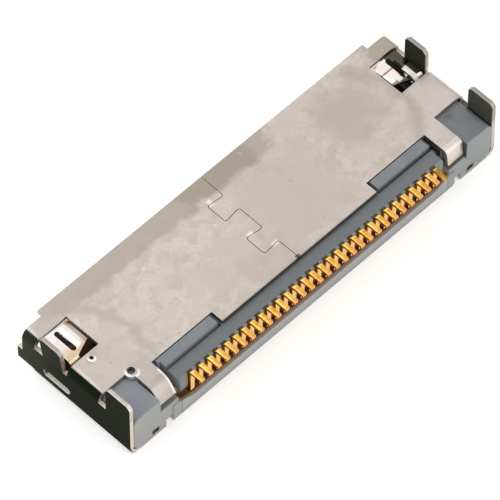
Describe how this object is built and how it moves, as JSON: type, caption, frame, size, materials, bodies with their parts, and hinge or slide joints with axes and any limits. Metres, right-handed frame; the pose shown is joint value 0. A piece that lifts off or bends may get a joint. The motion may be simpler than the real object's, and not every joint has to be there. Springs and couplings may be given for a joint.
{
  "type": "charging port connector",
  "caption": "Board-mounted dock charging receptacle: folded metal shell with legs and a dovetail seam, grey insulator with a tongue, a row of gold contacts and two springs.",
  "frame": {"origin": "below the centre of the whole outline, on the outer face of the plain lower panel", "axes": "+X along the contact row, +Y out of the mating mouth, +Z towards the circuit board side with the legs"},
  "size_m": [0.022, 0.0074, 0.0035],
  "materials": {
    "shell_metal": "satin",
    "insulator_plastic": "matte",
    "spring_metal": "polished",
    "contact_gold": "polished"
  },
  "bodies": {
    "root": {"shell": "shell_metal", "insulator": "insulator_plastic", "left_retention_spring": "spring_metal", "right_retention_spring": "spring_metal", "contact_01": "contact_gold", "contact_02": "contact_gold", "contact_03": "contact_gold", "contact_04": "contact_gold", "contact_05": "contact_gold", "contact_06": "contact_gold", "contact_07": "contact_gold", "contact_08": "contact_gold", "contact_09": "contact_gold", "contact_10": "contact_gold", "contact_11": "contact_gold", "contact_12": "contact_gold", "contact_13": "contact_gold", "contact_14": "contact_gold", "contact_15": "contact_gold", "contact_16": "contact_gold", "contact_17": "contact_gold", "contact_18": "contact_gold", "contact_19": "contact_gold", "contact_20": "contact_gold", "contact_21": "contact_gold", "contact_22": "contact_gold", "contact_23": "contact_gold", "contact_24": "contact_gold", "contact_25": "contact_gold", "contact_26": "contact_gold", "contact_27": "contact_gold", "contact_28": "contact_gold", "contact_29": "contact_gold", "contact_30": "contact_gold"}
  },
  "joints": []
}
